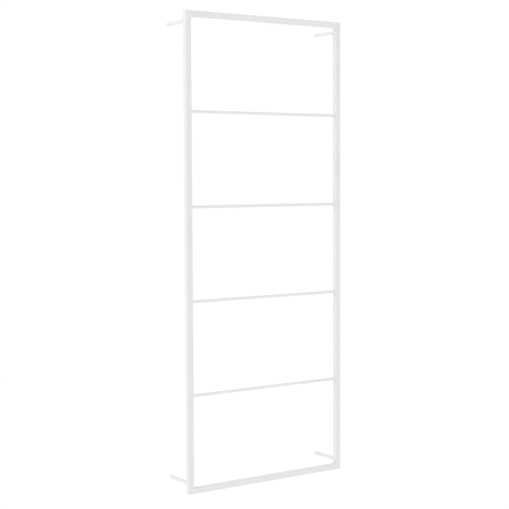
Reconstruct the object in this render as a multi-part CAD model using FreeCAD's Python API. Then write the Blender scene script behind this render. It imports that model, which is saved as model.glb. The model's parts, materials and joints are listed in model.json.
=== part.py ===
import FreeCAD, Part
import math
import os

# Wall-mounted fold-down drying rack, in millimetres.
# Origin: centre of the four wall fixings, on the wall plane.
# +X to the right, +Y into the wall, +Z up. The rack stands in front of the wall, at negative Y.
# A ladder frame of mitred square tube is carried on four arms. The two lower arms turn on pins
# in slotted bosses on the wall, and the two upper arms plug into magnetic catch cups above them.

# Ladder frame
frame_width = 600.0
frame_height = 1500.0
overall_depth = 130.0       # wall to front face
tube_side = 19.0
tube_wall = 1.2
tube_corner = 2.0           # outer radius of the tube's long edges
rung_diameter = 10.0
rung_wall = 1.0
rung_count = 4

# Arms and what joins them to the stiles
arm_diameter = 12.0
arm_inset = 32.0            # frame end to arm axis
stud_diameter = 6.0         # threaded end of an arm
stud_length = 12.0
nut_barrel_diameter = 9.0
nut_barrel_length = 11.0
nut_flange_diameter = 14.0
nut_flange_thickness = 0.8
edge_break = 0.5            # chamfer on turned edges

# Wall bosses: the hinge bosses and the catch cups
boss_diameter = 13.0
boss_length = 26.5
boss_gap = 0.5              # boss end to the arm's full diameter
fixing_bore = 5.2           # slips over a 5 mm wall stud
fixing_depth = 12.0
grub_diameter = 3.0
grub_length = 3.5
grub_height = 6.0           # wall plane to grub screw axis
grub_recess = 0.3           # below the boss's surface
grub_socket_flats = 1.5
grub_socket_depth = 1.4

# Hinge
pivot_standoff = 20.0       # wall plane to pin axis
slot_width = 5.2
slot_clearance = 0.4        # round the tongue
tongue_thickness = 4.2
tongue_height = 8.0         # also the diameter of its round end
pin_diameter = 4.0
pin_length = 12.2
bush_diameter = 5.6
pin_clearance = 0.05        # radial, pin in bush and washers
washer_diameter = 7.6
washer_thickness = 0.4

# Catch
catch_bore = 9.4
catch_depth = 12.0
magnet_diameter = 9.3
magnet_thickness = 3.0
liner_bore = 7.6
liner_lead_in = 0.6
spigot_diameter = 7.0
spigot_gap = 0.2            # spigot tip to magnet

# Rubber buffers that meet the wall when the rack is down
buffer_diameter = 9.0
buffer_height = 2.5
buffer_edge = 0.6
buffer_stem_diameter = 5.0
buffer_barb_diameter = 6.4
buffer_barb_height = 2.0
buffer_spacing = 480.0
buffer_inset = 6.0          # rear face of the frame to buffer axis

# Worked out from the above
front_y = -overall_depth
rear_y = front_y + tube_side
tube_axis_y = (front_y + rear_y) / 2
half_width = frame_width / 2
half_height = frame_height / 2
inner_half_width = half_width - tube_side
inner_half_height = half_height - tube_side
arm_x = half_width - tube_side / 2
arm_z = half_height - arm_inset
arm_start_y = rear_y + nut_flange_thickness
boss_end_y = -boss_length
arm_end_y = boss_end_y - boss_gap
pivot_y = -pivot_standoff
catch_floor_y = boss_end_y + catch_depth
magnet_face_y = catch_floor_y - magnet_thickness
sides = {"left": -1, "right": 1}


def vec(x, y, z):
    return FreeCAD.Vector(x, y, z)


def turned(profile, x, z):
    """A solid of revolution about the line along Y through x, z. The profile is (radius, y) points."""
    points = [vec(x + radius, y, z) for radius, y in profile]
    face = Part.Face(Part.makePolygon(points + [points[0]]))
    return face.revolve(vec(x, 0, z), vec(0, 1, 0), 360)


def rod_x(diameter, length, x, y, z):
    """A round bar along X, centred on x, y, z."""
    return Part.makeCylinder(diameter / 2, length, vec(x - length / 2, y, z), vec(1, 0, 0))


def square_bar(side, radius, length):
    """A square bar along Z, centred on the origin, with its long edges rounded."""
    box = Part.makeBox(side, side, length, vec(-side / 2, -side / 2, -length / 2))
    long_edges = [edge for edge in box.Edges if edge.BoundBox.ZLength > length / 2]
    return box.makeFillet(radius, long_edges)


def square_tube(length):
    outside = square_bar(tube_side, tube_corner, length)
    inside = square_bar(tube_side - 2 * tube_wall, tube_corner - tube_wall, length + 2)
    return outside.cut(inside)


def mitre_prism(corners):
    """A prism through the frame's depth over four (x, z) corners, for cutting a tube's mitres."""
    points = [vec(x, front_y - 1, z) for x, z in corners]
    face = Part.Face(Part.makePolygon(points + [points[0]]))
    return face.extrude(vec(0, tube_side + 2, 0))


def stile(side):
    """An upright, mitred at both ends, with a hole in its rear wall for each rivet nut."""
    tube = square_tube(frame_height + 2)
    tube.translate(vec(side * arm_x, tube_axis_y, 0))
    outer = side * half_width
    inner = side * inner_half_width
    keep = mitre_prism([
        (outer, -half_height),
        (inner, -inner_half_height),
        (inner, inner_half_height),
        (outer, half_height),
    ])
    body = tube.common(keep)
    hole_start = rear_y - 1.5 * tube_wall
    for z in (arm_z, -arm_z):
        place = vec(side * arm_x, hole_start, z)
        body = body.cut(Part.makeCylinder(nut_barrel_diameter / 2, 2 * tube_wall, place, vec(0, 1, 0)))
    return body


def rail(end):
    """A cross tube at the top (end 1) or bottom (end -1), mitred at both ends."""
    tube = square_tube(frame_width + 2)
    tube.rotate(vec(0, 0, 0), vec(0, 1, 0), 90)
    tube.translate(vec(0, tube_axis_y, end * (half_height - tube_side / 2)))
    outer = end * half_height
    inner = end * inner_half_height
    keep = mitre_prism([
        (-half_width, outer),
        (half_width, outer),
        (inner_half_width, inner),
        (-inner_half_width, inner),
    ])
    return tube.common(keep)


def buffer_places():
    return [(x, rear_y - buffer_inset) for x in (-buffer_spacing / 2, buffer_spacing / 2)]


def bottom_rail():
    """The lower cross tube, with a hole in its underside for each buffer's stem."""
    body = rail(-1)
    for x, y in buffer_places():
        place = vec(x, y, -half_height - tube_wall / 2)
        body = body.cut(Part.makeCylinder(buffer_stem_diameter / 2, 2 * tube_wall, place))
    return body


def buffers():
    """Push-in rubber buffers: a head with a broken edge below the rail and a barbed stem in it."""
    made = []
    head = buffer_diameter / 2
    stem = buffer_stem_diameter / 2
    barb = buffer_barb_diameter / 2
    under = -half_height
    inside = under + tube_wall
    profile = [
        (0, under - buffer_height),
        (head - buffer_edge, under - buffer_height),
        (head, under - buffer_height + buffer_edge),
        (head, under),
        (stem, under),
        (stem, inside),
        (barb, inside),
        (stem - buffer_edge, inside + buffer_barb_height),
        (0, inside + buffer_barb_height),
    ]
    for x, y in buffer_places():
        points = [vec(x + radius, y, z) for radius, z in profile]
        face = Part.Face(Part.makePolygon(points + [points[0]]))
        made.append(face.revolve(vec(x, y, 0), vec(0, 0, 1), 360))
    return Part.makeCompound(made)


def rung_heights():
    """Rung axes from the top down: the clear gaps between rails and rungs are all the same."""
    gap = (2 * inner_half_height - rung_count * rung_diameter) / (rung_count + 1)
    pitch = gap + rung_diameter
    return [inner_half_height - gap - rung_diameter / 2 - pitch * i for i in range(rung_count)]


def rung(z):
    length = 2 * inner_half_width
    outside = rod_x(rung_diameter, length, 0, tube_axis_y, z)
    inside = rod_x(rung_diameter - 2 * rung_wall, length + 2, 0, tube_axis_y, z)
    return outside.cut(inside)


def rivet_nut(x, z):
    """A flanged threaded insert, set through the stile's rear wall."""
    flange = nut_flange_diameter / 2
    barrel = nut_barrel_diameter / 2
    bore = stud_diameter / 2
    tail_y = rear_y - nut_barrel_length
    return turned([
        (bore, arm_start_y),
        (flange - nut_flange_thickness / 2, arm_start_y),
        (flange, rear_y),
        (barrel, rear_y),
        (barrel, tail_y),
        (bore, tail_y),
    ], x, z)


def arm_stud_profile():
    """The threaded front end that every arm has, from the axis out to the arm's shoulder."""
    stud = stud_diameter / 2
    tip_y = rear_y - stud_length
    return [
        (0, tip_y),
        (stud - edge_break, tip_y),
        (stud, tip_y + edge_break),
        (stud, arm_start_y),
        (arm_diameter / 2, arm_start_y),
    ]


def upper_arm(x):
    """An arm with a reduced spigot that plugs into the catch cup."""
    body = arm_diameter / 2
    spigot = spigot_diameter / 2
    tip_y = magnet_face_y - spigot_gap
    return turned(arm_stud_profile() + [
        (body, arm_end_y - edge_break),
        (body - edge_break, arm_end_y),
        (spigot, arm_end_y),
        (spigot, tip_y - edge_break),
        (spigot - edge_break, tip_y),
        (0, tip_y),
    ], x, arm_z)


def lower_arm(x):
    """An arm whose wall end is a flat tongue, rounded about the hinge pin."""
    body = arm_diameter / 2
    bar = turned(arm_stud_profile() + [
        (body, arm_end_y - edge_break),
        (body - edge_break, arm_end_y),
        (0, arm_end_y),
    ], x, -arm_z)
    corner = vec(x - tongue_thickness / 2, arm_end_y, -arm_z - tongue_height / 2)
    neck = Part.makeBox(tongue_thickness, pivot_y - arm_end_y, tongue_height, corner)
    round_end = rod_x(tongue_height, tongue_thickness, x, pivot_y, -arm_z)
    eye = rod_x(bush_diameter, 2 * tongue_thickness, x, pivot_y, -arm_z)
    return bar.fuse(neck).fuse(round_end).cut(eye).removeSplitter()


def fixing_cuts(x, z):
    """What every wall boss has cut out of its wall end: the stud bore and the grub screw's hole."""
    bore = Part.makeCylinder(fixing_bore / 2, fixing_depth, vec(x, -fixing_depth, z), vec(0, 1, 0))
    screw_base = vec(x, -grub_height, z - boss_diameter / 2)
    screw_hole = Part.makeCylinder(grub_diameter / 2, boss_diameter / 2, screw_base)
    return bore.fuse(screw_hole)


def grub_screw(x, z):
    """A socket set screw in the underside of a boss, just short of the stud bore."""
    base = vec(x, -grub_height, z - boss_diameter / 2 + grub_recess)
    body = Part.makeCylinder(grub_diameter / 2, grub_length, base)
    corner = grub_socket_flats / math.sqrt(3)
    angles = [math.radians(60 * i) for i in range(7)]
    points = [base + vec(corner * math.cos(angle), corner * math.sin(angle), 0) for angle in angles]
    socket = Part.Face(Part.makePolygon(points)).extrude(vec(0, 0, grub_socket_depth))
    return body.cut(socket)


def hinge_boss(x):
    """A round boss with a slot for the tongue, open at the front and below and roofed above.

    The lower half of its nose is rounded about the pin, so that the arm can swing down past it.
    """
    radius = boss_diameter / 2
    blank = turned([
        (0, 0),
        (radius - edge_break, 0),
        (radius, -edge_break),
        (radius, boss_end_y + edge_break),
        (radius - edge_break, boss_end_y),
        (0, boss_end_y),
    ], x, -arm_z)
    nose_corner = vec(x - radius, boss_end_y, -arm_z - radius)
    nose = Part.makeBox(boss_diameter, pivot_y - boss_end_y, radius, nose_corner)
    nose = nose.cut(rod_x(boss_diameter, boss_diameter + 2, x, pivot_y, -arm_z))
    reach = tongue_height / 2 + slot_clearance
    slot_corner = vec(x - slot_width / 2, boss_end_y - 1, -arm_z - boss_diameter)
    slot = Part.makeBox(slot_width, pivot_y + reach - boss_end_y + 1, boss_diameter + reach, slot_corner)
    pin_hole = rod_x(pin_diameter, boss_diameter + 2, x, pivot_y, -arm_z)
    return blank.cut(nose).cut(slot).cut(pin_hole).cut(fixing_cuts(x, -arm_z))


def hinge_pin(x):
    pin = rod_x(pin_diameter, pin_length, x, pivot_y, -arm_z)
    ends = [edge for edge in pin.Edges if edge.BoundBox.XLength < edge_break]
    return pin.makeChamfer(edge_break / 2, ends)


def hinge_bush(x):
    bore = rod_x(pin_diameter + 2 * pin_clearance, tongue_thickness + 2, x, pivot_y, -arm_z)
    return rod_x(bush_diameter, tongue_thickness, x, pivot_y, -arm_z).cut(bore)


def thrust_washers():
    """Four thin washers, one on each face of each tongue."""
    offset = (tongue_thickness + washer_thickness) / 2
    made = []
    for side in sides.values():
        for face in (-1, 1):
            x = side * arm_x + face * offset
            bore = rod_x(pin_diameter + 2 * pin_clearance, 2 * washer_thickness, x, pivot_y, -arm_z)
            made.append(rod_x(washer_diameter, washer_thickness, x, pivot_y, -arm_z).cut(bore))
    return Part.makeCompound(made)


def catch_cup(x):
    """A round boss with a deep mouth for the magnet, the liner and the arm's spigot."""
    radius = boss_diameter / 2
    mouth = catch_bore / 2
    cup = turned([
        (0, 0),
        (radius - edge_break, 0),
        (radius, -edge_break),
        (radius, boss_end_y + edge_break),
        (radius - edge_break, boss_end_y),
        (mouth, boss_end_y),
        (mouth, catch_floor_y),
        (0, catch_floor_y),
    ], x, arm_z)
    return cup.cut(fixing_cuts(x, arm_z))


def catch_magnet(x):
    radius = magnet_diameter / 2
    return turned([
        (0, catch_floor_y),
        (radius, catch_floor_y),
        (radius, magnet_face_y + edge_break / 2),
        (radius - edge_break / 2, magnet_face_y),
        (0, magnet_face_y),
    ], x, arm_z)


def catch_liner(x):
    """A plastic sleeve in the cup's mouth, with a lead-in for the spigot."""
    outer = catch_bore / 2
    bore = liner_bore / 2
    return turned([
        (bore, magnet_face_y),
        (outer, magnet_face_y),
        (outer, boss_end_y),
        (bore + liner_lead_in, boss_end_y),
        (bore, boss_end_y + liner_lead_in),
    ], x, arm_z)


def all_nodes():
    corners = [(side * arm_x, z) for side in sides.values() for z in (arm_z, -arm_z)]
    nodes = {
        "top_rail": rail(1),
        "bottom_rail": bottom_rail(),
        "wall_buffers": buffers(),
        "thrust_washers": thrust_washers(),
        "rivet_nuts": Part.makeCompound([rivet_nut(x, z) for x, z in corners]),
        "grub_screws": Part.makeCompound([grub_screw(x, z) for x, z in corners]),
    }
    for number, z in enumerate(rung_heights(), start=1):
        nodes[f"rung_{number}"] = rung(z)
    for name, side in sides.items():
        x = side * arm_x
        nodes[f"stile_{name}"] = stile(side)
        nodes[f"upper_arm_{name}"] = upper_arm(x)
        nodes[f"lower_arm_{name}"] = lower_arm(x)
        nodes[f"hinge_boss_{name}"] = hinge_boss(x)
        nodes[f"hinge_pin_{name}"] = hinge_pin(x)
        nodes[f"hinge_bush_{name}"] = hinge_bush(x)
        nodes[f"catch_cup_{name}"] = catch_cup(x)
        nodes[f"catch_magnet_{name}"] = catch_magnet(x)
        nodes[f"catch_liner_{name}"] = catch_liner(x)
    return nodes


def fold_angle():
    """The turn, in degrees, at which the buffers' rear edges reach the wall plane."""
    back = rear_y - buffer_inset + buffer_diameter / 2 - buffer_edge - pivot_y
    down = -half_height - buffer_height + arm_z
    reach = math.hypot(back, down)
    return math.degrees(math.atan2(-back, -down) + math.asin(pivot_standoff / reach))


def main():
    os.makedirs("parts", exist_ok=True)
    for name, shape in all_nodes().items():
        shape.exportStep(f"parts/{name}.step")
        print(f"{name}: {len(shape.Solids)} solid(s), {shape.Volume / 1000:.2f} cm3, {shape.isValid()}")
    print(f"hinge axis at y {pivot_y}, z {-arm_z}; folds down {fold_angle():.1f} degrees")


main()
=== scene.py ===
import json
import math

import bmesh
import bpy
import numpy as np
from mathutils import Matrix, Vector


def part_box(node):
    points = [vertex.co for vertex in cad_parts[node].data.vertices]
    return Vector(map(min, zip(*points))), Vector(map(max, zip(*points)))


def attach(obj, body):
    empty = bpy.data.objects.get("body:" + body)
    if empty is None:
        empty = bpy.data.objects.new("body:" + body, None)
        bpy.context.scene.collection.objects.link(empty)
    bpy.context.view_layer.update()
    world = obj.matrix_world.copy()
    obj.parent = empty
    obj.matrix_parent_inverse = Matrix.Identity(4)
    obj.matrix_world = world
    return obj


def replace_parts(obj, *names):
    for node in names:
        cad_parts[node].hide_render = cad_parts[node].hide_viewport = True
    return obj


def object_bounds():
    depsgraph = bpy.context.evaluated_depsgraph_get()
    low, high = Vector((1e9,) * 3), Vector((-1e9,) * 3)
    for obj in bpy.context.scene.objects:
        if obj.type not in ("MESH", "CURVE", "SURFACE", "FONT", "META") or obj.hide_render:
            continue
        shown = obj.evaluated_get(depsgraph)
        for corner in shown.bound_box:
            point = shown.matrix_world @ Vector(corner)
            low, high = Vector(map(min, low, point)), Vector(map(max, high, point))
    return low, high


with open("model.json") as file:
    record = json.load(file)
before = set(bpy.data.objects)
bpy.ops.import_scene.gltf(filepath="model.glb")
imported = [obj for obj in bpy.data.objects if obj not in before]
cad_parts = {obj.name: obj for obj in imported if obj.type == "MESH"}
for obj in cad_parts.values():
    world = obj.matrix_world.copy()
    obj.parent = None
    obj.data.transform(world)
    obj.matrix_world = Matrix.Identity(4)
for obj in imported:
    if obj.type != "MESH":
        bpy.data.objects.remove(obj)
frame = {"nodes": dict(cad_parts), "record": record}
cadBox = [list(corner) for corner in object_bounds()]
nodes = frame["nodes"]
slotOfNode = {part["node"]: part["material_slot"] for part in frame["record"]["subparts"]}
print("frame loaded:", len(nodes), "nodes")


def nodeBox(name):
    low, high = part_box(name)
    return np.array(low), np.array(high)


# sizes of the ladder frame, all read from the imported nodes, in metres
stileLow, stileHigh = nodeBox("stile_right")
railLow, railHigh = nodeBox("top_rail")
rungLow, rungHigh = nodeBox("rung_1")
frontY, rearY = stileLow[1], stileHigh[1]
tubeMidY = (frontY + rearY) / 2
innerX, outerX = stileLow[0], stileHigh[0]     # inner and outer faces of the right stile
innerZ, outerZ = railLow[2], railHigh[2]       # underside and top of the top rail
tubeEdge = 0.002                               # the rounding along a tube's long edges
tubeWall = 0.0012
nutFlange = 0.0008                             # how thick the rivet nuts' flanges are
rungRadius = (rungHigh[2] - rungLow[2]) / 2
rungZ = np.array([np.mean([corner[2] for corner in nodeBox(f"rung_{i}")]) for i in range(1, 5)])
armLow, armHigh = nodeBox("upper_arm_right")
armX, armZ = (armLow[0] + armHigh[0]) / 2, (armLow[2] + armHigh[2]) / 2
bossMouthY = nodeBox("hinge_boss_right")[0][1]


class Value:
    # a socket that can be used in ordinary arithmetic
    def __init__(self, nodeTree, socket):
        self.nodeTree, self.socket = nodeTree, socket

    def __add__(self, other):
        return self.nodeTree.maths("ADD", self, other)

    __radd__ = __add__

    def __mul__(self, other):
        return self.nodeTree.maths("MULTIPLY", self, other)

    __rmul__ = __mul__

    def __sub__(self, other):
        return self.nodeTree.maths("SUBTRACT", self, other)

    def __rsub__(self, other):
        return self.nodeTree.maths("SUBTRACT", other, self)

    def __gt__(self, other):
        return self.nodeTree.maths("GREATER_THAN", self, other)

    def __abs__(self):
        return self.nodeTree.maths("ABSOLUTE", self, 0)


class NodeTree:
    def __init__(self, tree):
        self.tree = tree

    def node(self, kind, settings=None, inputs=None, output=0):
        made = self.tree.nodes.new("ShaderNode" + kind)
        for key, value in (settings or {}).items():
            if key == "stops":
                for element, (position, shade) in zip(made.color_ramp.elements, value):
                    element.position, element.color = position, (shade, shade, shade, 1)
            else:
                setattr(made, key, value)
        for key, value in (inputs or {}).items():
            self.feed(made.inputs[key], value)
        return Value(self, made.outputs[output])

    def feed(self, socket, value):
        if isinstance(value, Value):
            self.tree.links.new(value.socket, socket)
        elif socket.type == "RGBA":
            socket.default_value = (*value, 1)
        else:
            socket.default_value = value

    def maths(self, operation, first, second):
        return self.node("Math", {"operation": operation}, {0: first, 1: second})


class Finish(NodeTree):
    def __init__(self, name, **constants):
        self.material = bpy.data.materials.new(name)
        self.material.use_nodes = True
        super().__init__(self.material.node_tree)
        self.surface = self.tree.nodes["Principled BSDF"]
        for key, value in constants.items():
            self.feed(self.surface.inputs[key.replace("_", " ")], value)

    def place(self):
        return self.node("TexCoord", output="Object")       # in metres

    def axis(self, name):
        return self.node("SeparateXYZ", inputs={0: self.place()}, output=name)

    def facing(self, name):
        normal = self.node("TexCoord", output="Normal")
        return self.node("SeparateXYZ", inputs={0: normal}, output=name)

    def noise(self, scale, detail=2, roughness=0.5, stretch=(1, 1, 1)):
        spot = self.node("Mapping", inputs={"Vector": self.place(), "Scale": stretch})
        settings = {"Vector": spot, "Scale": scale, "Detail": detail, "Roughness": roughness}
        return self.node("TexNoise", inputs=settings)

    def cells(self, scale):
        return self.node("TexVoronoi", inputs={"Vector": self.place(), "Scale": scale})

    def ramp(self, factor, low, high, fromShade=0.0, toShade=1.0):
        return self.node("ValToRGB", {"stops": [(low, fromShade), (high, toShade)]}, {"Fac": factor})

    def between(self, factor, first, second):
        return self.node("Mix", {"data_type": "RGBA"}, {0: factor, 6: first, 7: second}, output=2)

    def done(self, height, **links):
        # height is in metres and goes through one Bump node
        normal = self.node("Bump", inputs={"Height": height, "Distance": 1.0})
        self.feed(self.surface.inputs["Normal"], normal)
        for key, value in links.items():
            self.feed(self.surface.inputs[key.replace("_", " ")], value)
        return self.material


def darker(shade, share):
    return tuple(part * share for part in shade)


coatLook = {
    "shade": (0.80, 0.80, 0.80),
    "thinShade": (0.765, 0.765, 0.77),
    "cloudScale": 9,          # slow changes in the film's thickness
    "cloudRoughness": 0.06,
    "peelScale": 420,         # orange peel, waves about 2.4 mm long
    "peelDepth": 0.00008,
    "grainScale": 2600,       # the powder itself
    "grainDepth": 0.000014,
    "grainRoughness": 0.08,
    "roughness": 0.36,        # on average
    "index": 1.5,
    "glossScale": 30,         # the clear film on top
    "glossWeights": (0.10, 0.22),
    "glossRoughness": 0.22,
}


def coatParts(finish, look):
    # cloudy film thickness, orange peel and a fine powder grain
    cloud = finish.noise(look["cloudScale"], detail=3)
    peel = finish.noise(look["peelScale"], detail=1.5, roughness=0.4)
    grain = finish.noise(look["grainScale"])
    film = finish.ramp(cloud * 0.75 + grain * 0.25, 0.3, 0.7)
    colour = finish.between(film, look["thinShade"], look["shade"])
    steady = look["roughness"] - (look["cloudRoughness"] + look["grainRoughness"]) / 2
    rough = cloud * look["cloudRoughness"] + grain * look["grainRoughness"] + steady
    height = peel * look["peelDepth"] + grain * look["grainDepth"]
    return colour, rough, height


def newCoat(name, look):
    return Finish(name, IOR=look["index"], Coat_Roughness=look["glossRoughness"])


def filmGloss(finish, look):
    return finish.ramp(finish.noise(look["glossScale"]), 0.35, 0.65, *look["glossWeights"])


def plainCoat(look):
    finish = newCoat("white powder coat", look)
    colour, rough, height = coatParts(finish, look)
    return finish.done(height, Base_Color=colour, Roughness=rough, Coat_Weight=filmGloss(finish, look))


mitreLook = {
    "width": 0.0005,          # hairline where two mitred tubes meet under the coat
    "depth": 0.00006,
    "shadow": 0.93,
    "paintedEdgeShade": 0.93,         # share of the thin shade painted along the tube's rounded long edges as shade, where the coat also pulls thin
}


def tubeCoat(look):
    # flat is 1 on a tube's front and back, 0 on its sides and between them on its rounded edges, which get
    # painted shade;
    # the coat sinks a little along the plane where outerX - |x| equals outerZ - |z|, and painted shadow
    # darkens that hairline
    finish = newCoat("coat on mitred tube", coatLook)
    colour, rough, height = coatParts(finish, coatLook)
    outward = finish.facing("Y")
    flat = outward * outward
    # painted shade: the rounded long edges are darkened most where they turn halfway from front to side;
    # the coat also pulls thin there
    colour = finish.between(flat * (1 - flat) * 4, colour, darker(coatLook["thinShade"], look["paintedEdgeShade"]))
    offPlane = abs((outerX - abs(finish.axis("X"))) - (outerZ - abs(finish.axis("Z"))))
    seam = finish.ramp(offPlane * (1 / look["width"]), 0.0, 1.0, 1.0, 0.0)
    # painted shadow: the hairline along the mitre plane is darkened as well as sunk
    seamShadowColour = darker(coatLook["thinShade"], look["shadow"])
    return finish.done(
        height - seam * look["depth"],
        Base_Color=finish.between(seam, colour, seamShadowColour),
        Roughness=rough,
        Coat_Weight=filmGloss(finish, coatLook))


rungLook = {
    "polish": 0.04,           # how much smoother laundry has rubbed the tops of the rungs
    "wearScale": 45,
    "wearStretch": (0.3, 1, 1),
}


def rungCoat(look):
    finish = newCoat("coat on rungs", coatLook)
    colour, rough, height = coatParts(finish, coatLook)
    upward = finish.facing("Z")
    wear = finish.noise(look["wearScale"], detail=3, stretch=look["wearStretch"])
    rubbed = finish.ramp(upward * 0.7 + wear * 0.5, 0.45, 0.95)
    return finish.done(
        height,
        Base_Color=colour,
        Roughness=rough - rubbed * look["polish"],
        Coat_Weight=filmGloss(finish, coatLook))


bareLook = {
    "steel": (0.60, 0.60, 0.60),
    "studBore": 0.0029,       # radius inside which a boss was plugged when it was coated
    "pastShoulder": 0.0003,   # the coat on an arm ends this far in front of the boss's mouth
    "ragged": 0.0002,         # how far the edge of the coat wanders
    "raggedScale": 260,
    "lineScale": 1500,        # turning marks in the steel
    "lineStretch": (1, 0.15, 1),
    "lineDepth": 0.000004,
}


def coatOrSteel(name, bareMask, look):
    # bareMask takes the finish and its look, and gives 1 where the steel shows
    finish = newCoat(name, coatLook)
    colour, rough, height = coatParts(finish, coatLook)
    lines = finish.noise(look["lineScale"], detail=3, stretch=look["lineStretch"])
    bare = bareMask(finish, look)
    steel = finish.between(lines, darker(look["steel"], 0.75), look["steel"])
    return finish.done(
        height * (1 - bare) + lines * look["lineDepth"] * bare,
        Base_Color=finish.between(bare, colour, steel),
        Roughness=rough * (1 - bare) + (lines * 0.2 + 0.2) * bare,
        Metallic=bare,
        Coat_Weight=(1 - bare) * (sum(coatLook["glossWeights"]) / 2))


def armMask(finish, look):
    # an arm is masked on its thread at the front and past its shoulder at the wall end
    along = finish.axis("Y") + (finish.noise(look["raggedScale"]) - 0.5) * look["ragged"]
    return (along > bossMouthY - look["pastShoulder"]) + (1 - (along > rearY + nutFlange))


def bossMask(finish, look):
    across = abs(finish.axis("X")) - armX
    up = abs(finish.axis("Z")) - armZ
    return 1 - (across * across + up * up > look["studBore"] ** 2)


steelLook = {
    "shade": (0.62, 0.61, 0.60),
    "lineScale": 1800,
    "lineStretch": (0.1, 1, 1),
    "lineDepth": 0.000004,
    "stainScale": 120,
}


def groundSteel(look):
    # fine lines left by the grinding wheel, drawn out along the pin
    finish = Finish("ground stainless steel", Metallic=1.0)
    lines = finish.noise(look["lineScale"], detail=3, roughness=0.6, stretch=look["lineStretch"])
    stain = finish.noise(look["stainScale"])
    colour = finish.between(lines * 0.6 + stain * 0.4, darker(look["shade"], 0.82), look["shade"])
    return finish.done(lines * look["lineDepth"], Base_Color=colour, Roughness=lines * 0.22 + 0.2)


zincLook = {
    "blue": (0.50, 0.53, 0.58),
    "bright": (0.72, 0.74, 0.78),
    "spangleScale": 900,
    "spangleDepth": 0.00001,
    "hazeScale": 160,
}


def zincPlate(look):
    finish = Finish("bright zinc plate", Metallic=1.0)
    spangle = finish.cells(look["spangleScale"])
    haze = finish.noise(look["hazeScale"], detail=3)
    colour = finish.between(haze * 0.7 + spangle * 0.3, look["blue"], look["bright"])
    return finish.done(spangle * look["spangleDepth"], Base_Color=colour, Roughness=haze * 0.25 + 0.22)


oxideLook = {
    "dark": (0.012, 0.012, 0.014),
    "worn": (0.05, 0.05, 0.055),
    "mottleScale": 1400,
    "mottleDepth": 0.000008,
}


def blackOxide(look):
    finish = Finish("black oxide", Metallic=0.6)
    mottle = finish.noise(look["mottleScale"], detail=4)
    colour = finish.between(mottle, look["dark"], look["worn"])
    return finish.done(mottle * look["mottleDepth"], Base_Color=colour, Roughness=mottle * 0.3 + 0.3)


nylonLook = {
    "shade": (0.82, 0.815, 0.79),
    "flow": (0.74, 0.73, 0.69),
    "flowScale": 70,
    "flowStretch": (1, 0.35, 1),
    "poreScale": 3200,
    "poreDepth": 0.000006,
}


def whiteNylon(look):
    # streaks drawn out along Y, as the plastic flowed into its mould
    finish = Finish("natural nylon", IOR=1.53)
    flow = finish.noise(look["flowScale"], detail=3, stretch=look["flowStretch"])
    pores = finish.noise(look["poreScale"], detail=1)
    colour = finish.between(flow, look["flow"], look["shade"])
    return finish.done(pores * look["poreDepth"], Base_Color=colour, Roughness=pores * 0.12 + 0.42)


bronzeLook = {
    "pore": (0.30, 0.17, 0.07),
    "grain": (0.62, 0.42, 0.20),
    "grainScale": 5200,
    "grainDepth": 0.00001,
    "oilScale": 240,
}


def sinteredBronze(look):
    finish = Finish("oiled sintered bronze", Metallic=1.0)
    grains = finish.cells(look["grainScale"])
    oil = finish.noise(look["oilScale"])
    colour = finish.between(grains * 0.6 + oil * 0.4, look["pore"], look["grain"])
    return finish.done(grains * look["grainDepth"], Base_Color=colour, Roughness=oil * 0.2 + 0.3)


nickelLook = {
    "dull": (0.55, 0.53, 0.49),
    "bright": (0.74, 0.72, 0.68),
    "scuffScale": 900,
    "scuffDepth": 0.000003,
}


def nickelPlate(look):
    finish = Finish("nickel plate", Metallic=1.0)
    scuffs = finish.noise(look["scuffScale"], detail=5, roughness=0.7)
    colour = finish.between(scuffs, look["dull"], look["bright"])
    rough = finish.ramp(scuffs, 0.4, 0.8, 0.12, 0.4)
    return finish.done(scuffs * look["scuffDepth"], Base_Color=colour, Roughness=rough)


rubberLook = {
    "bloom": (0.50, 0.50, 0.49),
    "shade": (0.66, 0.66, 0.65),
    "bloomScale": 300,
    "skinScale": 2400,
    "skinDepth": 0.00001,
}


def paleRubber(look):
    finish = Finish("pale moulded rubber", IOR=1.52)
    bloom = finish.noise(look["bloomScale"], detail=3)
    skin = finish.noise(look["skinScale"])
    colour = finish.between(bloom * 0.7 + skin * 0.3, look["bloom"], look["shade"])
    return finish.done(skin * look["skinDepth"], Base_Color=colour, Roughness=bloom * 0.12 + 0.62)


finishes = {
    "powder_coat": plainCoat(coatLook),
    "bright_steel": groundSteel(steelLook),
    "zinc_plate": zincPlate(zincLook),
    "black_screw": blackOxide(oxideLook),
    "white_nylon": whiteNylon(nylonLook),
    "bronze": sinteredBronze(bronzeLook),
    "magnet_nickel": nickelPlate(nickelLook),
    "rubber": paleRubber(rubberLook),
}
coatsByStart = {
    "stile": tubeCoat(mitreLook),
    "rung": rungCoat(rungLook),
    "upper_arm": coatOrSteel("coat on arms", armMask, bareLook),
    "hinge_boss": coatOrSteel("coat on bosses", bossMask, bareLook),
}
coatsByStart["bottom_rail"] = coatsByStart["top_rail"] = coatsByStart["stile"]
coatsByStart["lower_arm"] = coatsByStart["upper_arm"]
coatsByStart["catch_cup"] = coatsByStart["hinge_boss"]


def dress(thing, material):
    thing.data.materials.clear()
    thing.data.materials.append(material)


for name, thing in nodes.items():
    special = [coat for start, coat in coatsByStart.items() if name.startswith(start)]
    dress(thing, special[0] if special else finishes[slotOfNode[name]])
print("finishes made:", len(bpy.data.materials))


def gridFaces(shape, closeRows):
    # four vertex numbers for each face; columns always join up, rows do so where closeRows is set
    number = np.arange(np.prod(shape)).reshape(shape)
    number = np.concatenate([number, number[:, :, :1]], axis=2)
    if closeRows:
        number = np.concatenate([number, number[:, :1]], axis=1)
    corners = [number[:, :-1, :-1], number[:, 1:, :-1], number[:, 1:, 1:], number[:, :-1, 1:]]
    return np.stack(corners, axis=-1).reshape(-1, 4)


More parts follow.
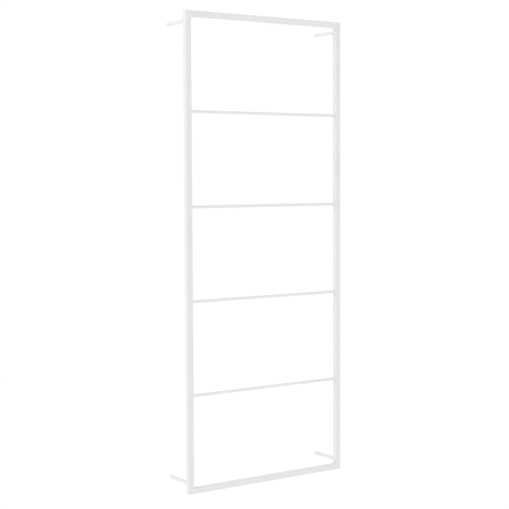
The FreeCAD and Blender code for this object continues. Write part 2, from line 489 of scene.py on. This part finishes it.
def makePiece(name, points, slot, closeRows=False, sharpFrom=40):
    # points holds copies x rows x columns x 3 numbers; every copy is a closed surface
    mesh = bpy.data.meshes.new(name)
    mesh.from_pydata(points.reshape(-1, 3).tolist(), [], gridFaces(points.shape[:3], closeRows).tolist())
    work = bmesh.new()
    work.from_mesh(mesh)
    bmesh.ops.remove_doubles(work, verts=work.verts, dist=1e-7)
    bmesh.ops.recalc_face_normals(work, faces=work.faces)
    work.to_mesh(mesh)
    work.free()
    mesh.polygons.foreach_set("use_smooth", np.ones(len(mesh.polygons), dtype=bool))
    mesh.set_sharp_from_angle(angle=math.radians(sharpFrom))
    piece = bpy.data.objects.new(name, mesh)
    bpy.context.scene.collection.objects.link(piece)
    dress(piece, finishes[slot])
    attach(piece, "ladder_frame")
    print(name, "has", len(mesh.polygons), "faces")
    return piece


def filletWeld(beat, leg, look):
    # section of a weld in an inside corner: s runs from 0 on one leg to 1 on the other, the face
    # bulges by crown * sin(pi s), and its ripples are chevrons, |sin(pi * (beat + s (1 - s)))|,
    # where beat counts the ripples along the weld
    s = np.linspace(0, 1, look["facePoints"])
    bulge = np.sin(math.pi * s)
    ripple = np.abs(np.sin(math.pi * (beat[:, None] + s * (1 - s))))
    lift = (look["crown"] * leg[:, None] + look["ripple"] * ripple) * bulge / math.sqrt(2)
    first = leg[:, None] * (1 - s) + lift
    second = leg[:, None] * s + lift
    back = -look["sink"] * np.minimum(1, leg / leg.max())[:, None]
    first = np.concatenate([first, back, back, leg[:, None]], axis=1)
    second = np.concatenate([second, leg[:, None], back, back], axis=1)
    return first, second


def wandering(turns, amount):
    # three sine waves that don't repeat together, as a hand-held torch wanders
    waves = np.sin(3 * turns + 0.4) + 0.6 * np.sin(7 * turns + 2.1) + 0.4 * np.sin(13 * turns)
    return 1 + amount * waves / 2


rungWeldLook = {
    "leg": 0.0017,
    "crown": 0.10,            # bulge of the weld's face, in legs
    "ripple": 0.00007,
    "ripples": 24,            # once round the rung
    "sink": 0.0003,           # how far its back lies inside the tubes
    "wander": 0.12,
    "stagger": 5,             # how differently each weld starts, in radians for each metre of height
    "rows": 288,
    "facePoints": 10,
}


def rungWelds(look):
    # a fillet weld round each end of each rung: the section is carried once round the rung
    turn = np.linspace(0, 2 * math.pi, look["rows"], endpoint=False)
    leg = look["leg"] * wandering(turn, look["wander"])
    inward, outward = filletWeld(turn / (2 * math.pi) * look["ripples"], leg, look)
    radius = rungRadius + outward
    copies = []
    for z in rungZ:
        for side in (-1, 1):
            angle = turn[:, None] + side * (1 + z * look["stagger"])
            y = tubeMidY + radius * np.cos(angle)
            copies.append(np.stack([side * (innerX - inward), y, z + radius * np.sin(angle)], axis=-1))
    makePiece("rung_welds", np.array(copies), "powder_coat", closeRows=True)


cornerWeldLook = {
    "leg": 0.0022,
    "crown": 0.06,
    "ripple": 0.00007,
    "pitch": 0.0015,
    "sink": 0.0003,
    "wander": 0.08,
    "wanderTurns": 9,
    "rows": 120,
    "facePoints": 12,
}


def taper(share):
    # 1 along most of a bead and rounding down to 0 at both ends: (1 - |2 share - 1|^6)^(1/2)
    return np.sqrt(1 - np.abs(2 * share - 1) ** 6)


def cornerWelds(look):
    # a fillet weld from front to back in each inside corner of the frame
    share = np.linspace(0, 1, look["rows"])
    y = frontY + tubeEdge + share * (rearY - frontY - 2 * tubeEdge)
    leg = look["leg"] * wandering(share * look["wanderTurns"], look["wander"]) * taper(share)
    fromStile, fromRail = filletWeld((y - frontY) / look["pitch"], leg, look)
    depth = np.broadcast_to(y[:, None], fromStile.shape)
    copies = [np.stack([side * (innerX - fromStile), depth, end * (innerZ - fromRail)], axis=-1)
              for side in (-1, 1) for end in (-1, 1)]
    makePiece("corner_welds", np.array(copies), "powder_coat")


mitreBeadLook = {
    "halfWidth": 0.0019,
    "height": 0.00045,
    "ripple": 0.00008,
    "pitch": 0.0015,
    "sink": 0.0002,
    "inset": 0.0018,          # from each corner of the frame to the bead's end, across the tube
    "wander": 0.06,
    "wanderTurns": 9,
    "rows": 160,
    "columns": 15,
}


def mitreBeads(look):
    # a low bead on the back of each mitre; across it, the height follows 1 - c^2 for c from -1 to 1,
    # and the ripples are chevrons that trail behind the middle by c^2
    share = np.linspace(0, 1, look["rows"])
    size = taper(share) * wandering(share * look["wanderTurns"], look["wander"])
    c = np.linspace(-1, 1, look["columns"])
    reach = (outerX - innerX) - 2 * look["inset"]
    along = look["inset"] + share * reach
    ripple = np.abs(np.sin(math.pi * (along[:, None] * math.sqrt(2) / look["pitch"] + 0.5 * c ** 2)))
    top = size[:, None] * (look["height"] + look["ripple"] * ripple) * (1 - c ** 2)
    across = size[:, None] * look["halfWidth"] * c
    under = np.full((look["rows"], 1), -look["sink"])
    across = np.concatenate([across, across[:, -1:], across[:, :1]], axis=1) / math.sqrt(2)
    top = np.concatenate([top, under, under], axis=1)
    x = innerX + along[:, None] + across
    z = innerZ + along[:, None] - across
    copies = [np.stack([side * x, rearY + top, end * z], axis=-1) for side in (-1, 1) for end in (-1, 1)]
    makePiece("mitre_beads", np.array(copies), "powder_coat")


def softCorners(corners, steps=7):
    # each corner (radius, along, rounding) becomes a short parabola that starts and ends one
    # rounding away from it: (1-t)^2 start + 2t(1-t) corner + t^2 end
    points = np.array([corner[:2] for corner in corners])
    rounding = np.array([corner[2] for corner in corners])[:, None]
    ahead = np.roll(points, -1, axis=0) - points
    behind = np.roll(points, 1, axis=0) - points
    start = points + behind / np.linalg.norm(behind, axis=1, keepdims=True) * rounding
    end = points + ahead / np.linalg.norm(ahead, axis=1, keepdims=True) * rounding
    t = np.linspace(0, 1, steps)[:, None, None]
    curve = (1 - t) ** 2 * start + 2 * t * (1 - t) * points + t ** 2 * end
    return curve.transpose(1, 0, 2).reshape(-1, 2)


def turned(profile, columns):
    # a profile of (radius, along) points carried once round its axis
    angle = np.linspace(0, 2 * math.pi, columns, endpoint=False)
    radius, along = profile[:, :1], profile[:, 1:]
    return radius * np.cos(angle), radius * np.sin(angle), np.broadcast_to(along, (len(profile), columns))


rivetNutLook = {
    "bore": 0.003,
    "flange": 0.007,
    "barrel": 0.0045,
    "bulge": 0.0058,          # the barrel folds outwards behind the tube's wall as the nut is set
    "bulgeDepth": 0.0018,
    "bulgeEnd": 0.0026,
    "bulgeRound": 0.0006,
    "tailBehindTip": 0.001,   # how far the nut ends behind the tip of the arm's thread
    "soft": 0.0004,           # rounding of pressed corners
    "blunt": 0.0003,
    "broken": 0.0002,
    "crisp": 0.0001,
    "columns": 72,
}


def rivetNuts(look):
    # each nut is its outline turned once about its arm's axis
    tail = armLow[1] + look["tailBehindTip"]
    wall = rearY - tubeWall
    profile = softCorners([
        (look["bore"], rearY + nutFlange, look["crisp"]),
        (look["flange"], rearY + nutFlange, look["soft"]),
        (look["flange"], rearY, look["crisp"]),
        (look["barrel"], rearY, 0),
        (look["barrel"], wall, 0),
        (look["bulge"], wall, look["soft"]),
        (look["bulge"], wall - look["bulgeDepth"], look["bulgeRound"]),
        (look["barrel"], wall - look["bulgeEnd"], look["soft"]),
        (look["barrel"], tail, look["blunt"]),
        (look["bore"], tail, look["broken"]),
    ])
    across, up, along = turned(profile, look["columns"])
    copies = [np.stack([side * armX + across, along, end * armZ + up], axis=-1)
              for side in (-1, 1) for end in (-1, 1)]
    piece = makePiece("set_rivet_nuts", np.array(copies), "zinc_plate", closeRows=True)
    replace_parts(piece, "rivet_nuts")


bufferLook = {
    "dish": 0.0004,           # the hollow inside the ring that meets the wall
    "dishRadius": 0.0019,
    "ringRadius": 0.0028,
    "rim": 0.0007,
    "stem": 0.0025,
    "barb": 0.0032,
    "barbHeight": 0.002,
    "full": 0.0005,           # rounding of its corners, from the fullest to the sharpest
    "soft": 0.0004,
    "blunt": 0.0003,
    "broken": 0.0002,
    "columns": 72,
}


def buffers(look):
    # each buffer is its outline turned once about a vertical axis
    low, high = nodeBox("wall_buffers")
    head = (high[1] - low[1]) / 2
    under = -outerZ
    foot = low[2]
    inside = under + tubeWall
    profile = softCorners([
        (0, foot + look["dish"], 0),
        (look["dishRadius"], foot + look["dish"], look["soft"]),
        (look["ringRadius"], foot, look["blunt"]),
        (head - look["rim"], foot, look["broken"]),
        (head, foot + look["rim"], look["full"]),
        (head, under, look["broken"]),
        (look["stem"], under, 0),
        (look["stem"], inside, 0),
        (look["barb"], inside, look["broken"]),
        (look["stem"] - look["rim"], inside + look["barbHeight"], look["soft"]),
        (0, inside + look["barbHeight"], 0),
    ])
    across, deep, along = turned(profile, look["columns"])
    copies = [np.stack([side * (high[0] - head) + across, (low[1] + high[1]) / 2 + deep, along], axis=-1)
              for side in (-1, 1)]
    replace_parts(makePiece("moulded_buffers", np.array(copies), "rubber"), "wall_buffers")


rungWelds(rungWeldLook)
cornerWelds(cornerWeldLook)
mitreBeads(mitreBeadLook)
rivetNuts(rivetNutLook)
buffers(bufferLook)
print("pieces made")


stageLook = {
    "floorDrop": 1.7,         # floor below the rack, deep enough to look up at it
    "floorSize": 24.0,
    "floorShade": (0.90, 0.90, 0.90),
    "driftScale": 0.8,        # slow changes across the floor
    "driftDepth": 0.0001,
    "floorGlow": 0.20,        # the floor is a lit acrylic sheet
    "airInFront": 0.965,      # what lights the object, from the room's side
    "airBehind": 0.875,
    "backdropShade": 1.01,    # what the lens sees behind it
}


def makeFloor(look):
    half = look["floorSize"] / 2
    level = cadBox[0][2] - look["floorDrop"]
    corners = np.array([[-half, -half], [half, -half], [half, half], [-half, half]])
    mesh = bpy.data.meshes.new("studio_floor")
    mesh.from_pydata(np.column_stack([corners, np.full(4, level)]).tolist(), [], [[0, 1, 2, 3]])
    floor = bpy.data.objects.new("studio_floor", mesh)
    bpy.context.scene.collection.objects.link(floor)
    finish = Finish("studio floor", Emission_Color=(1, 1, 1), Emission_Strength=look["floorGlow"])
    drift = finish.noise(look["driftScale"])
    shade = finish.between(drift, darker(look["floorShade"], 0.99), look["floorShade"])
    dress(floor, finish.done(drift * look["driftDepth"], Base_Color=shade, Roughness=drift * 0.1 + 0.85))


def makeAir(look):
    world = bpy.data.worlds.new("studio air")
    world.use_nodes = True
    world.node_tree.nodes.clear()
    air = NodeTree(world.node_tree)
    direction = air.node("TexCoord", output="Generated")
    behind = air.node("SeparateXYZ", inputs={0: direction}, output="Y") * 0.5 + 0.5
    strength = behind * (look["airBehind"] - look["airInFront"]) + look["airInFront"]
    light = air.node("Background", inputs={"Color": (1, 1, 1), "Strength": strength})
    backdrop = air.node("Background", inputs={"Color": (1, 1, 1), "Strength": look["backdropShade"]})
    seen = air.node("LightPath", output="Is Camera Ray")
    sky = world.node_tree.nodes.new("ShaderNodeOutputWorld")
    air.feed(sky.inputs["Surface"], air.node("MixShader", inputs={0: seen, 1: light, 2: backdrop}))
    bpy.context.scene.world = world


lampLook = {
    # name: place, size, power; every lamp faces the middle of the rack
    "leftBehind": ((-3.6, 0.7, 1.6), 2.4, 26),
    "overhead": ((0.2, 0.3, 4.2), 2.6, 16),
}


def makeLamps(look):
    for name, (place, size, power) in look.items():
        lamp = bpy.data.lights.new(name, "AREA")
        lamp.size, lamp.energy = size, power
        thing = bpy.data.objects.new(name, lamp)
        thing.location = place
        x, y, z = place
        tilt = math.atan2(-z, math.hypot(x, y))
        thing.rotation_euler = (math.pi / 2 + tilt, 0, math.atan2(x, -y))
        bpy.context.scene.collection.objects.link(thing)


cameraLook = {
    "place": (-2.272, -3.380, 0.246),
    "yaw": 34.359,            # turned to the right of straight at the wall, in degrees
    "tilt": -3.225,           # below the horizon
    "roll": -0.251,
    "lens": 87.25,            # in millimetres, as the sensor is
    "sensor": 36,
    "rise": -0.020,           # lens shift, in frame widths
    "reach": (0.1, 100),      # nearest and farthest things in view
}


def makeCamera(look):
    data = bpy.data.cameras.new("camera")
    data.lens, data.sensor_width, data.shift_y = look["lens"], look["sensor"], look["rise"]
    data.clip_start, data.clip_end = look["reach"]
    camera = bpy.data.objects.new("camera", data)
    camera.location = look["place"]
    roll = Matrix.Rotation(math.radians(look["roll"]), 3, "Z")
    tilt = Matrix.Rotation(math.radians(90 + look["tilt"]), 3, "X")
    yaw = Matrix.Rotation(math.radians(-look["yaw"]), 3, "Z")
    camera.rotation_euler = (yaw @ tilt @ roll).to_euler()
    bpy.context.scene.collection.objects.link(camera)
    bpy.context.scene.camera = camera


makeFloor(stageLook)
makeAir(stageLook)
makeLamps(lampLook)
makeCamera(cameraLook)
bpy.context.scene.view_settings.view_transform = "Standard"
print("stage ready")
